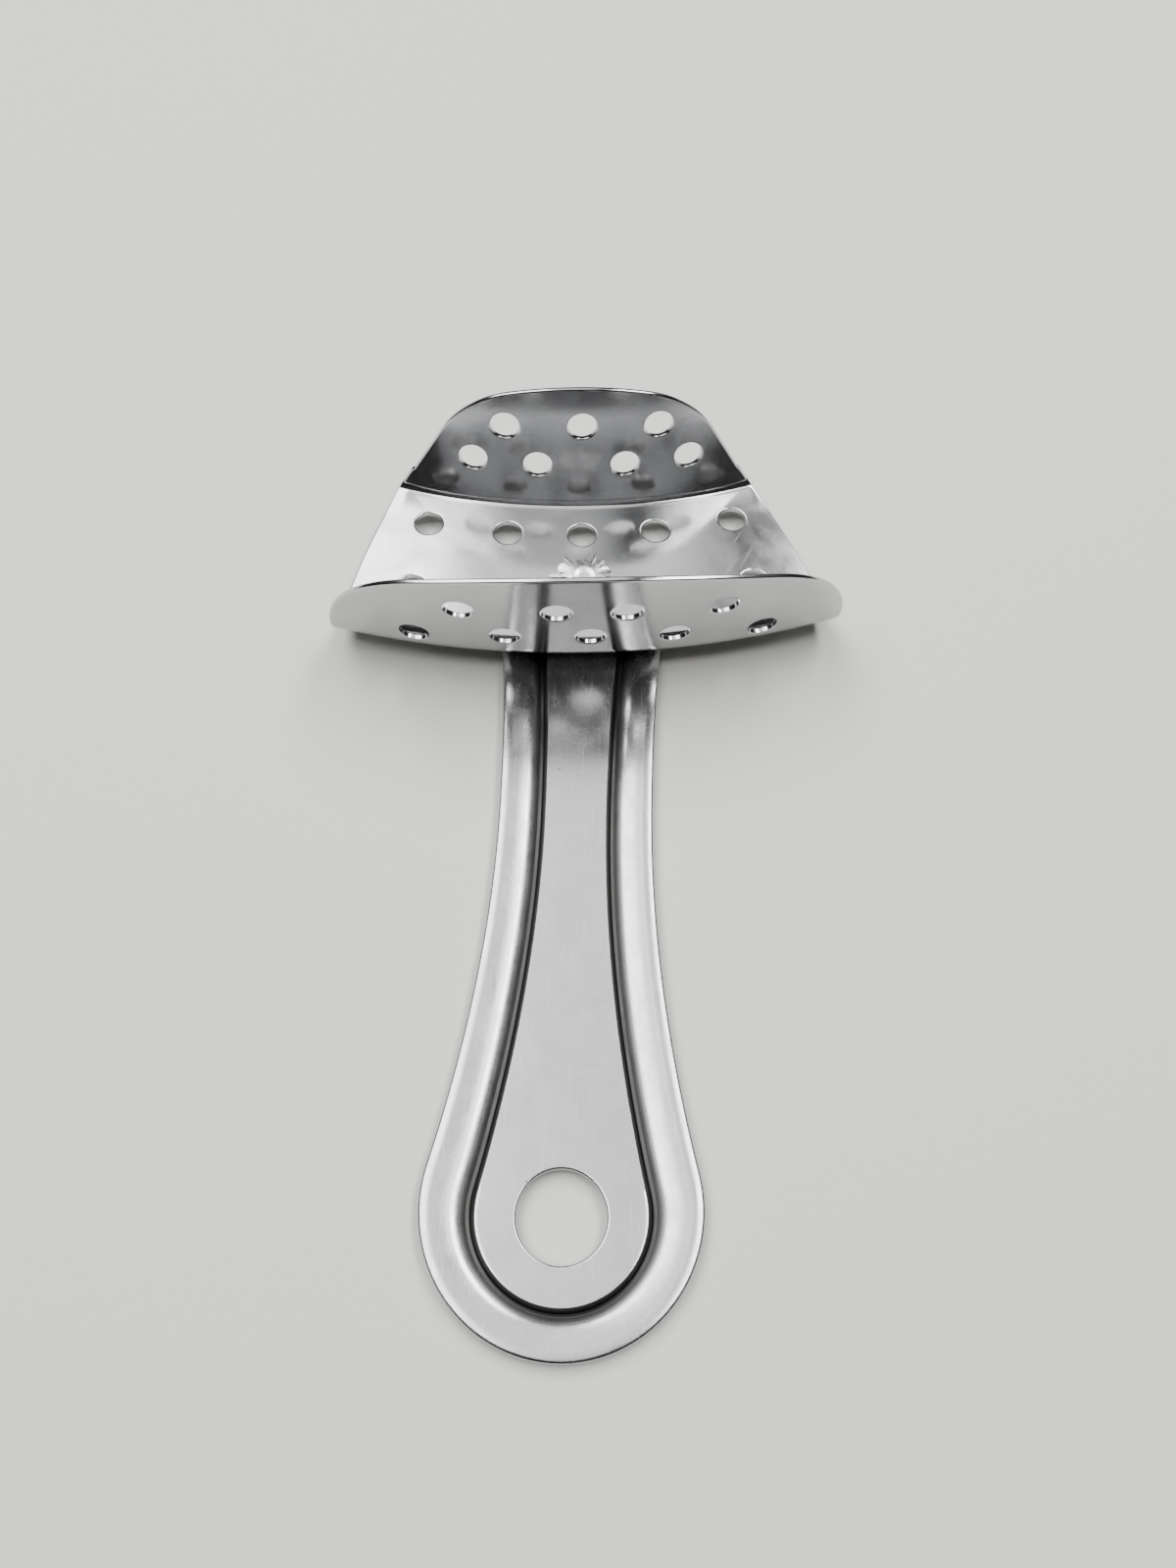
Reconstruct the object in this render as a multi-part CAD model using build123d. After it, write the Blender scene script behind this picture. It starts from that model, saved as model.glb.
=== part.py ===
from build123d import *
import os
from math import atan2, cos, degrees, hypot, radians, sin, sqrt, tan

os.makedirs("parts", exist_ok=True)

# A perforated stainless steel impression tray for the front teeth: a pressed
# trough of thin sheet, riveted on the inner end of a thicker pressed handle.
#
# Frame: millimetres, +Z up, the object lying as it does on a table.  The origin
# is on the axis of the hanging hole, level with the underside of the handle
# strip.  +Y runs along the handle from the hole to the tray, +X to the right.

# Handle strip.
strip_thickness = 1.0
end_radius = 12.45          # the round free end
end_centre_y = 1.0          # its centre, measured from the hanging hole
neck_half_width = 7.86      # the narrowest place
neck_y = 38.5
shoulder_radius = 260.0     # the edges spread again beyond the neck
tail_length = 4.0           # strip beyond the rivet, under the tray floor
tail_corner = 2.0
hanging_hole_radius = 3.95
rim_rounding = 0.55         # top outer edge, rolled over by the press
strip_edge_rounding = 0.15  # every other edge of the strip

# Bead: the u-shaped groove pressed into the strip.
rim_width = 4.8             # from the outline to the flat panel, at the neck
panel_end_radius = 7.5      # the panel's round end, a little off the strip's own
panel_end_centre_y = 0.25
bead_depth = 0.7
bead_steep_run = 0.45       # plan width of the steep wall beside the panel
bead_floor = 0.45
bead_soft_run = 1.3         # plan width of the soft shoulder beside the rim
bead_wall_spread = 0.3      # the ridge below is this much wider on each side

# Tray pressing.
sheet_thickness = 0.65
tray_turn = 4.0             # degrees the tray sits off the handle's centre line
rivet_y = 68.0
arch_radius = 95.2          # base of the near wall, outer face, in plan
near_base_y = -11.0         # the same face, measured from the rivet
trough_width = 21.5         # outer face of the near wall to inner face of the far
near_flare = 8.6            # degrees each wall leans outward
far_flare = 9.3
near_bend_radius = 3.8      # outside radius of each bend
far_bend_radius = 1.5

near_half_width = 27.5      # the near wall seen from the front
near_height = 17.7
near_corner = 13.0
near_crown_rise = 2.0       # its top edge is a flat arc above the two corners
far_half_width = 19.95      # the far wall seen from the front
far_height = 15.9
far_corner = 12.0
far_crown_rise = 0.55
far_side_lean = 30.8        # degrees its side edges lean inward
far_shift = -0.4            # the far side is trimmed a little off centre
floor_half_width = 20.75    # the floor's corners at the foot of the far wall
side_edge_radius = 100.0    # bow of the floor's side edges, in plan

# Perforations.
hole_radius = 1.6
# each row: distance from its wall's base along the slope, how much lower the
# row is 20 mm to the side, and the places of its holes along the arc
near_rows = (
    (6.4, 1.8, (-18.4, -8.8, 0.0, 8.8, 18.4)),
    (11.5, 0.8, (-13.2, -3.5, 3.5, 13.2)),
)
far_rows = (
    (6.2, -1.0, (-12.4, -5.0, 5.0, 12.4)),
    (11.4, 1.1, (-8.7, 0.0, 8.7)),
)
# floor rows: distance from the rivet at the centre line, and the places along
# the arc; the rivet takes the place of the middle hole of the front row
floor_rows = (
    (6.25, (-17.7, -8.55, 0.0, 8.55, 17.7)),
    (-2.9, (-19.4, -9.6, 9.6, 19.4)),
)

# Rivet.
rivet_radius = 1.45
rivet_clearance = 0.05
rivet_bore = 0.95
head_radius = 2.9
head_height = 0.6
rosette_radius = 3.3
rosette_height = 0.5
bore_depth = 0.4            # of the dish in the upper end, from its crest
petal_count = 10
slit_width = 0.3
slit_margin = 0.1           # solid ring between the shank and the slits

floor_underside = strip_thickness
floor_top = floor_underside + sheet_thickness
arch_centre_y = near_base_y + arch_radius
inner_end_y = rivet_y + tail_length
reach = 60.0                # size of cutting tools, larger than the tray


# Handle.
def tail_edge_x(y, inset):
    """Half-width of the strip beyond the neck, moved in by inset."""
    centre_x = neck_half_width + shoulder_radius
    return centre_x - sqrt((shoulder_radius + inset) ** 2 - (y - neck_y) ** 2)


def long_edges(end_size, centre_y, inset, last_y):
    """A long U round the strip: its end, a flank arc on each side and tail edges.

    One arc joins the round end to the neck on each side.  Its radius follows from
    being tangent to the end circle and parallel to the handle at the neck.
    """
    neck_x = neck_half_width - inset
    neck_rise = neck_y - centre_y
    flank_radius = (neck_x**2 + neck_rise**2 - end_size**2) / (2 * (end_size - neck_x))
    flank_x = neck_x + flank_radius
    share = end_size / (flank_radius + end_size)
    touch = (share * flank_x, centre_y + share * neck_rise)
    neck = (neck_x, neck_y)
    flank_y = (touch[1] + neck_y) / 2
    flank_bow = sqrt(flank_radius**2 - (neck_y - flank_y) ** 2)
    tail_y = (neck_y + last_y) / 2

    def arc(side, *points):
        return ThreePointArc(*[(side * x, y) for x, y in points])

    end = [ThreePointArc(touch, (0, centre_y - end_size), (-touch[0], touch[1]))]
    flanks = [arc(side, touch, (flank_x - flank_bow, flank_y), neck) for side in (1, -1)]
    tails = [
        arc(side, neck, (tail_edge_x(tail_y, inset), tail_y), (tail_edge_x(last_y, inset), last_y))
        for side in (1, -1)
    ]
    return end + flanks + tails


def bead_solid(drop, spread):
    """The bead's section swept round its path, moved down and made wider."""
    path = Wire(long_edges(panel_end_radius, panel_end_centre_y, rim_width, inner_end_y + 5))
    start = path @ 0
    side = 1 if start.X > 0 else -1
    outward = Vector(0, 0, 1).cross(path % 0) * side
    floor_end = bead_steep_run + bead_floor
    soft_end = floor_end + bead_soft_run
    top = strip_thickness - drop
    low = top - bead_depth
    points = [
        (-spread, top + 0.5),
        (-spread, top),
        (bead_steep_run - spread, low),
        (floor_end + spread, low),
        (soft_end + spread, top),
        (soft_end + spread, top + 0.5),
    ]
    section = Plane(start, x_dir=outward, z_dir=(path % 0) * side) * Polyline(*points, close=True)
    # the path runs along the panel's edge, so the rim lies on its outer side
    return sweep(make_face(section.edges()), path=path)


def make_handle():
    corner = (tail_edge_x(inner_end_y, 0), inner_end_y)
    edges = long_edges(end_radius, end_centre_y, 0, inner_end_y)
    edges.append(Line((-corner[0], corner[1]), corner))
    outline = make_face(edges)
    tail_corners = outline.vertices().sort_by(Axis.Y)[-2:]
    outline = fillet(tail_corners, tail_corner)
    strip = extrude(outline, strip_thickness)
    top_edges = strip.faces().sort_by(Axis.Z)[-1].outer_wire().edges()
    strip = fillet(top_edges, rim_rounding)
    low_edges = strip.faces().sort_by(Axis.Z)[0].outer_wire().edges()
    strip = fillet(low_edges, strip_edge_rounding)
    ridge = bead_solid(strip_thickness, bead_wall_spread)
    ridge &= extrude(outline, amount=strip_thickness / 2) + extrude(outline, amount=-2 * bead_depth)
    strip = strip + ridge - bead_solid(0, 0)
    strip -= Cylinder(hanging_hole_radius, 4 * strip_thickness)
    strip -= Pos(0, rivet_y, 0) * Cylinder(rivet_radius + rivet_clearance, 4 * strip_thickness)
    return strip


# Tray pressing, built about the rivet's axis and turned afterwards.
def trough_section():
    """The U of the trough in a vertical plane through the arch's centre."""
    tall = near_height + 5
    near_slope = tan(radians(near_flare))
    far_slope = tan(radians(far_flare))
    near_shift = sheet_thickness / cos(radians(near_flare))
    far_shift = sheet_thickness / cos(radians(far_flare))
    near_radius = arch_radius
    far_radius = arch_radius - trough_width - far_shift

    def u_shape(near, far, low, inward):
        points = [
            (near + tall * near_slope, tall),
            (near + low * near_slope, low),
            (far - low * far_slope, low),
            (far - tall * far_slope, tall),
        ]
        shape = make_face(Polyline(*points, close=True))
        far_foot = shape.vertices().sort_by(Axis.Y)[:2].sort_by(Axis.X)[0]
        shape = fillet([far_foot], far_bend_radius - inward)
        near_foot = shape.vertices().sort_by(Axis.Y)[:2].sort_by(Axis.X)[-1]
        return fillet([near_foot], near_bend_radius - inward)

    outside = u_shape(near_radius, far_radius, 0, 0)
    inside = u_shape(near_radius - near_shift, far_radius + far_shift, sheet_thickness, sheet_thickness)
    return outside - inside


def wall_outline(half_width, base, height, lean, corner, crown_rise):
    """A wall seen from the front: leaning sides, round corners, crowned top.

    half_width is measured at the level of base.  The crown is an arc that rises
    by crown_rise above the tops of the two corner arcs and is tangent to both.
    """
    lean = radians(lean)
    centre_z = height - crown_rise - corner
    centre_x = half_width - tan(lean) * (centre_z - base) - corner / cos(lean)
    crown = (centre_x**2 + (height - centre_z) ** 2 - corner**2) / (2 * crown_rise)
    turn = atan2(centre_z - height + crown, centre_x)
    low_z = min(base, centre_z) - corner
    low_end = (half_width + tan(lean) * (base - low_z), low_z)

    def on_corner(angle):
        return (centre_x + corner * cos(angle), centre_z + corner * sin(angle))

    def mirrored(point):
        return (-point[0], point[1])

    side_top = on_corner(lean)
    middle = on_corner((lean + turn) / 2)
    crown_end = on_corner(turn)
    edges = [
        Line(mirrored(low_end), low_end),
        Line(low_end, side_top),
        ThreePointArc(side_top, middle, crown_end),
        ThreePointArc(crown_end, (0, height), mirrored(crown_end)),
        ThreePointArc(mirrored(crown_end), mirrored(middle), mirrored(side_top)),
        Line(mirrored(side_top), mirrored(low_end)),
    ]
    return make_face(edges)


def floor_outline():
    """The floor's sides in plan, run on straight past both walls."""
    near_y = near_base_y + arch_radius - sqrt(arch_radius**2 - near_half_width**2)
    far_radius = arch_radius - trough_width
    far_y = arch_centre_y - sqrt(far_radius**2 - floor_half_width**2)
    ahead_x = near_half_width + reach * 0.2

    def side(sign):
        far_x = floor_half_width + sign * far_shift
        chord = hypot(near_half_width - far_x, far_y - near_y)
        bow = side_edge_radius - sqrt(side_edge_radius**2 - (chord / 2) ** 2)
        middle_x = (near_half_width + far_x) / 2 + bow * (far_y - near_y) / chord
        middle_y = (near_y + far_y) / 2 + bow * (near_half_width - far_x) / chord
        return [
            Line((sign * ahead_x, -reach), (sign * near_half_width, near_y)),
            ThreePointArc(
                (sign * near_half_width, near_y), (sign * middle_x, middle_y), (sign * far_x, far_y)
            ),
            Line((sign * far_x, far_y), (sign * far_x, reach)),
        ]

    edges = side(1) + side(-1)
    edges.append(Line((-ahead_x, -reach), (ahead_x, -reach)))
    edges.append(Line((far_shift - floor_half_width, reach), (floor_half_width + far_shift, reach)))
    return make_face(edges)


def blank_solid():
    """Everything inside the pressing's trimmed edge."""
    near_face = wall_outline(
        near_half_width, 0, near_height, 0, near_corner, near_crown_rise
    )
    far_face = wall_outline(
        far_half_width, far_bend_radius, far_height, far_side_lean, far_corner, far_crown_rise
    )
    near_part = extrude(Plane.XZ * near_face, amount=reach)
    far_part = Pos(far_shift, 0, 0) * extrude(Plane.XZ * far_face, amount=-reach)
    far_part += Pos(0, reach / 2, far_bend_radius / 2) * Box(2 * reach, reach, far_bend_radius)
    plan = extrude(floor_outline(), reach)
    return (near_part + far_part) & plan


def punch(place, normal):
    """A round punch through the sheet at a place on its middle surface."""
    return Plane(place, z_dir=normal) * Cylinder(hole_radius, 6 * sheet_thickness)


def wall_punches(base_radius, flare, rows):
    """Punches square to a wall; flare is positive where it leans off the arch."""
    lean = radians(flare)
    punches = []
    for height, droop, places in rows:
        for place in places:
            slope = height - droop * (place / 20) ** 2
            turn = place / base_radius
            radius = base_radius + slope * sin(lean) - sheet_thickness / 2 * cos(lean)
            centre = (radius * sin(turn), arch_centre_y - radius * cos(turn), slope * cos(lean))
            normal = (sin(turn) * cos(lean), -cos(turn) * cos(lean), -sin(lean))
            punches.append(punch(centre, normal))
    return punches


def floor_punches():
    punches = []
    for middle_y, places in floor_rows:
        radius = arch_centre_y - middle_y
        for place in places:
            turn = place / radius
            centre = (radius * sin(turn), arch_centre_y - radius * cos(turn), sheet_thickness / 2)
            punches.append(punch(centre, (0, 0, 1)))
    return punches


def make_tray():
    spread = degrees(near_half_width / arch_radius) + 15
    section = Plane.XZ * trough_section()
    axis = Axis((0, 0, 0), (0, 0, 1))
    trough = revolve(section, axis=axis, revolution_arc=2 * spread)
    trough = Pos(0, arch_centre_y, 0) * Rot(0, 0, -90 - spread) * trough
    trough &= blank_solid()
    far_base = arch_radius - trough_width - sheet_thickness / cos(radians(far_flare)) / 2
    cuts = wall_punches(arch_radius, near_flare, near_rows)
    cuts += wall_punches(far_base, -far_flare, far_rows)
    cuts += floor_punches()
    cuts.append(Cylinder(rivet_radius + rivet_clearance, 6 * sheet_thickness))
    for cut in cuts:
        trough -= cut
    return Pos(0, rivet_y, floor_underside) * Rot(0, 0, tray_turn) * trough


# Rivet: head under the strip, shank, split and curled end on the floor.
def make_rivet():
    head = Pos(0, 0, -head_height / 2) * Cylinder(head_radius, head_height)
    head = fillet(head.edges().filter_by(GeomType.CIRCLE).sort_by(Axis.Z)[0], head_height * 0.6)
    shank = Pos(0, 0, floor_top / 2) * Cylinder(rivet_radius, floor_top)
    crest = floor_top + rosette_height
    lip = crest - rosette_height * 0.3
    profile = make_face(
        [
            Line((0, floor_top), (rosette_radius, floor_top)),
            ThreePointArc(
                (rosette_radius, floor_top),
                ((rivet_radius + rosette_radius) / 2, floor_top + rosette_height * 0.8),
                (rivet_radius, crest),
            ),
            Line((rivet_radius, crest), (rivet_bore, lip)),
            Line((rivet_bore, lip), (0, lip)),
            Line((0, lip), (0, floor_top)),
        ]
    )
    rosette = revolve(Plane.XZ * profile, axis=Axis.Z)
    slit_length = rosette_radius
    slit_start = rivet_radius + slit_margin
    slit = Pos(slit_start + slit_length / 2, 0, floor_top + rosette_height / 2)
    slit *= Box(slit_length, slit_width, 2 * rosette_height)
    for index in range(petal_count):
        rosette -= Rot(0, 0, index * 360 / petal_count) * slit
    rivet = head + shank + rosette
    rivet -= Pos(0, 0, crest - bore_depth / 2) * Cylinder(rivet_bore, bore_depth)
    return Pos(0, rivet_y, 0) * rivet


export_step(make_handle(), "parts/handle.step")
export_step(make_tray(), "parts/perforated_tray.step")
export_step(make_rivet(), "parts/rivet.step")
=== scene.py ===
import math

import bmesh
import bpy
import numpy as np
from mathutils import Matrix, Vector
from mathutils.geometry import delaunay_2d_cdt


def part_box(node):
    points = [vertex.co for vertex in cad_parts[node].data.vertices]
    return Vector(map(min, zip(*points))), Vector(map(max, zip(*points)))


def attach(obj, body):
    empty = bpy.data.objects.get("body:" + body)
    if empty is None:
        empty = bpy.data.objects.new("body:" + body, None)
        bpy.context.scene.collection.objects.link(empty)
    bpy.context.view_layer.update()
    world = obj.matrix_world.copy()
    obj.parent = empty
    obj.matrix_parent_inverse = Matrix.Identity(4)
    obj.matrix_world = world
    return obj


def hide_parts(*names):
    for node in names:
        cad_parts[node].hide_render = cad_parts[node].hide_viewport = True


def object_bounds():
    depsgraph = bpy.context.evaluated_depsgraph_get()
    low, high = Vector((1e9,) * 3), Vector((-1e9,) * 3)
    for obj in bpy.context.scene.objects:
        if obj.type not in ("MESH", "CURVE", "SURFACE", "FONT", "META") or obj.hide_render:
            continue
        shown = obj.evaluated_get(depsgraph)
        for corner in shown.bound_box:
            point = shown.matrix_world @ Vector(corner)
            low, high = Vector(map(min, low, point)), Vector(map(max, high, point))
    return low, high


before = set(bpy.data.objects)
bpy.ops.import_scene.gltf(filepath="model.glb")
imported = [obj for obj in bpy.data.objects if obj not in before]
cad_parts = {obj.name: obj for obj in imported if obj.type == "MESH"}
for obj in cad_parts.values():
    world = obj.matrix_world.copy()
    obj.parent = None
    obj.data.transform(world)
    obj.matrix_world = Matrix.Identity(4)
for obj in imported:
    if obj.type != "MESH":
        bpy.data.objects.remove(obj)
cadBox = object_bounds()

# A perforated stainless impression tray for the front teeth, riveted to its handle.
# All shapes are worked out in millimetres and turned to metres as each mesh is made.

millimetre = 0.001


def boxInMm(node):
    low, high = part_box(node)
    return np.array(low) / millimetre, np.array(high) / millimetre


handleLow, handleHigh = boxInMm("handle")
rivetLow, rivetHigh = boxInMm("rivet")
rivetY = (rivetLow[1] + rivetHigh[1]) / 2
stripThickness = handleHigh[2]


# Shared shape tools

def unit(vectors):
    return vectors / np.linalg.norm(vectors, axis=-1, keepdims=True)


def leftOf(direction):
    return np.array((-direction[1], direction[0]))


def filletedLine(corners, turnStep=9):
    # corners are (x, y, radius); gives the places along the rounded line and the
    # normals to the left of the way it runs
    spots = [np.array(corner[:2], float) for corner in corners]
    places, normals = [spots[0]], [leftOf(unit(spots[1] - spots[0]))]
    for index in range(1, len(corners) - 1):
        before = unit(spots[index] - spots[index - 1])
        after = unit(spots[index + 1] - spots[index])
        turn = math.atan2(before[0] * after[1] - before[1] * after[0], before @ after)
        radius = corners[index][2]
        side = math.copysign(1, turn)
        start = spots[index] - before * radius * math.tan(abs(turn) / 2)
        centre = start + side * radius * leftOf(before)
        steps = max(2, round(abs(math.degrees(turn)) / turnStep))
        for step in range(steps + 1):
            angle = turn * step / steps
            way = np.array((
                before[0] * math.cos(angle) - before[1] * math.sin(angle),
                before[0] * math.sin(angle) + before[1] * math.cos(angle),
            ))
            places.append(centre - side * radius * leftOf(way))
            normals.append(leftOf(way))
    places.append(spots[-1])
    normals.append(leftOf(unit(spots[-1] - spots[-2])))
    return np.array(places), np.array(normals)


def evenlySpaced(loop, spacing):
    # the same closed loop with points at an even spacing
    line = np.vstack([loop, loop[:1]])
    lengths = np.linalg.norm(np.diff(line, axis=0), axis=1)
    along = np.concatenate([[0], np.cumsum(lengths)])
    count = round(along[-1] / spacing)
    marks = np.linspace(0, along[-1], count + 1)[:-1]
    return np.column_stack([np.interp(marks, along, line[:, axis]) for axis in range(2)])


def insideLoop(points, loop):
    # even-odd rule, for many points at once
    inside = np.zeros(len(points), bool)
    following = np.roll(loop, -1, axis=0)
    for (x0, y0), (x1, y1) in zip(loop, following):
        if y0 == y1:
            continue
        crosses = (y0 > points[:, 1]) != (y1 > points[:, 1])
        inside ^= crosses & (points[:, 0] < x0 + (points[:, 1] - y0) * (x1 - x0) / (y1 - y0))
    return inside


def clearOfLoop(points, loop):
    # distance from each point to the nearest corner of the loop
    nearest = np.full(len(points), np.inf)
    for corner in loop:
        nearest = np.minimum(nearest, np.linalg.norm(points - corner, axis=1))
    return nearest


def triangulate(loops, points):
    # triangles over the flat pattern, inside the first loop and outside the others
    flat = np.vstack(list(loops) + [points])
    edges, first = [], 0
    for loop in loops:
        count = len(loop)
        edges += [(first + step, first + (step + 1) % count) for step in range(count)]
        first += count
    tolerance = 1e-7
    result = delaunay_2d_cdt([Vector(point) for point in flat], edges, [], 0, tolerance)
    source = np.array([original[0] for original in result[3]])
    triangles = source[np.array([tuple(face) for face in result[2]])]
    a, b, c = (flat[triangles[:, corner]] for corner in range(3))
    area = (b[:, 0] - a[:, 0]) * (c[:, 1] - a[:, 1]) - (b[:, 1] - a[:, 1]) * (c[:, 0] - a[:, 0])
    triangles[area < 0] = triangles[area < 0][:, ::-1]
    middles = (a + b + c) / 3
    keep = insideLoop(middles, loops[0])
    for loop in loops[1:]:
        keep &= ~insideLoop(middles, loop)
    smallestArea = 1e-9
    return flat, triangles[keep & (abs(area) > smallestArea)]


def edgeStrip(top, bottom, topNormals, bottomNormals, rounding):
    # closes the sheet along one loop: a rounded upper edge, the cut wall and a
    # rounded lower edge; rounding is (width, upper depth, lower depth)
    width, upper, lower = rounding
    rise = unit(top - bottom)
    along = np.roll(top, -1, axis=0) - np.roll(top, 1, axis=0)
    outward = unit(np.cross(along, rise))
    steps = 5
    rings, normals = [], []
    for step in range(steps + 1):
        angle = math.pi / 2 * step / steps
        sine, cosine = math.sin(angle), math.cos(angle)
        rings.append(top + outward * width * sine - rise * upper * (1 - cosine))
        curve = unit(outward * upper * sine + rise * width * cosine)
        normals.append(unit(topNormals * (1 - sine) + curve * sine) if step else topNormals)
    for step in range(steps, -1, -1):
        angle = math.pi / 2 * step / steps
        sine, cosine = math.sin(angle), math.cos(angle)
        rings.append(bottom + outward * width * sine + rise * lower * (1 - cosine))
        curve = unit(outward * lower * sine - rise * width * cosine)
        normals.append(unit(bottomNormals * (1 - sine) + curve * sine) if step else bottomNormals)
    return rings, normals


def ringFaces(ringCount, size):
    # quads between rings of equal size, each ring closed on itself
    faces = []
    for ring in range(ringCount - 1):
        for step in range(size):
            after = (step + 1) % size
            near, far = ring * size, (ring + 1) * size
            faces.append((near + step, far + step, far + after, near + after))
    return faces


def pressedSheet(loops, topPoints, bottomPoints, topPlace, bottomPlace, openBelow=()):
    # loops are (flat points, rounding), the outline counter-clockwise and each
    # hole clockwise; the places turn flat points to space and give normals
    shells = []
    outlines = [loop for loop, _ in loops]
    flat, triangles = triangulate(outlines, topPoints)
    places, normals = topPlace(flat)
    shells.append((places, normals, [tuple(face) for face in triangles]))
    flat, triangles = triangulate(outlines + list(openBelow), bottomPoints)
    places, normals = bottomPlace(flat)
    shells.append((places, normals, [tuple(face[::-1]) for face in triangles]))
    for loop, rounding in loops:
        top, topNormals = topPlace(loop)
        bottom, bottomNormals = bottomPlace(loop)
        rings, ringNormals = edgeStrip(top, bottom, topNormals, bottomNormals, rounding)
        faces = ringFaces(len(rings), len(loop))
        shells.append((np.vstack(rings), np.vstack(ringNormals), faces))
    return shells


def makePiece(name, shells, material, node, grooveShade=None):
    # welds the shells into one closed mesh that stands for the frame's node; the last
    # argument gives each point the share of painted shade in the groove that its material shows
    places = np.vstack([shell[0] for shell in shells])
    normals = np.vstack([shell[1] for shell in shells])
    weldSteps = 2000              # to the millimetre: points in the same step are welded
    offStep = 0.1372              # keeps round sizes off the border between two steps
    keys = np.round(places * weldSteps + offStep).astype(np.int64)
    _, kept, index = np.unique(keys, axis=0, return_index=True, return_inverse=True)
    index = index.reshape(-1)
    faces, first = [], 0
    for shellPlaces, _, shellFaces in shells:
        for face in shellFaces:
            corners = [index[first + corner] for corner in face]
            corners = [c for step, c in enumerate(corners) if c != corners[step - 1]]
            if len(set(corners)) == len(corners) > 2:
                faces.append([int(corner) for corner in corners])
        first += len(shellPlaces)
    summed = np.zeros((len(kept), 3))
    np.add.at(summed, index, normals)
    mesh = bpy.data.meshes.new(name)
    mesh.from_pydata((places[kept] * millimetre).tolist(), [], faces)
    working = bmesh.new()
    working.from_mesh(mesh)
    bmesh.ops.join_triangles(
        working, faces=working.faces[:],
        angle_face_threshold=math.radians(10), angle_shape_threshold=math.radians(40),
    )
    working.to_mesh(mesh)
    openEdges = sum(1 for edge in working.edges if len(edge.link_faces) != 2)
    working.free()
    mesh.shade_smooth()
    mesh.normals_split_custom_set_from_vertices(unit(summed).tolist())
    # the mask of painted shade in the groove, stored on the points for the material
    if grooveShade:
        layer = mesh.attributes.new("grooveShade", "FLOAT", "POINT")
        layer.data.foreach_set("value", grooveShade(places[kept]))
    mesh.materials.append(material)
    piece = bpy.data.objects.new(name, mesh)
    bpy.context.scene.collection.objects.link(piece)
    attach(piece, "root")
    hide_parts(node)
    print(name, len(mesh.vertices), "points", len(mesh.polygons), "faces", openEdges, "open edges")


def numericNormals(place, flat, step=1e-3):
    # normals of a surface, from its slope either side of each point
    ahead = place(flat + (step, 0)) - place(flat - (step, 0))
    across = place(flat + (0, step)) - place(flat - (0, step))
    return unit(np.cross(ahead, across))


def ripple(points, height, wavelength, seed):
    # the faint unevenness that pressing leaves in thin sheet
    draw = np.random.default_rng(seed)
    total = np.zeros(len(points))
    waves = 6
    for _ in range(waves):
        angle = draw.uniform(0, math.pi)
        length = wavelength * draw.uniform(0.7, 1.6)
        phase = draw.uniform(0, 2 * math.pi)
        run = points[:, 0] * math.cos(angle) + points[:, 1] * math.sin(angle)
        total += np.sin(2 * math.pi * run / length + phase)
    return total * height / waves


# Shared material tools

def toLinear(hexColour):
    channels = [int(hexColour[start : start + 2], 16) / 255 for start in (1, 3, 5)]
    return [c / 12.92 if c <= 0.04045 else ((c + 0.055) / 1.055) ** 2.4 for c in channels] + [1]


def perMillimetre(size):
    # pattern scale whose features measure size millimetres
    return 1 / (size * millimetre)


def addNode(tree, kind, inputs, **settings):
    node = tree.nodes.new(kind)
    for name, value in settings.items():
        setattr(node, name, value)
    for key, value in inputs.items():
        if isinstance(value, bpy.types.NodeSocket):
            tree.links.new(value, node.inputs[key])
        else:
            node.inputs[key].default_value = value
    return node


def newMaterial(name):
    material = bpy.data.materials.new(name)
    material.use_nodes = True
    tree = material.node_tree
    tree.nodes.clear()
    shader = addNode(tree, "ShaderNodeBsdfPrincipled", {})
    addNode(tree, "ShaderNodeOutputMaterial", {"Surface": shader.outputs["BSDF"]})
    return material, tree, shader


def stretchedLines(tree, coords, width, length, turn, amount):
    # fine lines of the given width and length in millimetres, lying at an angle to
    # the handle; amount is the share of the surface that they cover
    turned = addNode(
        tree, "ShaderNodeVectorRotate", {"Vector": coords, "Angle": turn}, rotation_type="Z_AXIS"
    )
    squeezed = addNode(
        tree, "ShaderNodeVectorMath",
        {0: turned.outputs["Vector"], 1: (1, width / length, 1)}, operation="MULTIPLY",
    )
    noise = addNode(
        tree, "ShaderNodeTexNoise",
        {"Vector": squeezed.outputs[0], "Scale": perMillimetre(width), "Detail": 2.0, "Roughness": 0.5},
    )
    level = 0.68 - 0.2 * amount   # only the crests of the noise above this level draw a line
    lines = addNode(
        tree, "ShaderNodeMapRange",
        {"Value": noise.outputs["Fac"], "From Min": level, "From Max": level + 0.1},
    )
    return lines.outputs["Result"]


def unevenSteel(tree, look, pattern):
    # the steel's tone and roughness: bright and clear where the pattern is low, dulled
    # and soft where it is high
    tone = addNode(
        tree, "ShaderNodeMix",
        {"Factor": pattern, "A": toLinear(look["steel"]), "B": toLinear(look["dulled"])},
        data_type="RGBA",
    )
    low, high = look["patternRange"]
    rough = addNode(
        tree, "ShaderNodeMapRange",
        {"Value": pattern, "From Min": low, "From Max": high,
         "To Min": look["clearest"], "To Max": look["softest"]},
    )
    return tone.outputs["Result"], rough.outputs["Result"]


def connectSteel(tree, shader, tone, rough, normal):
    shader.inputs["Metallic"].default_value = 1.0
    tree.links.new(tone, shader.inputs["Base Color"])
    tree.links.new(rough, shader.inputs["Roughness"])
    tree.links.new(normal, shader.inputs["Normal"])


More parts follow.
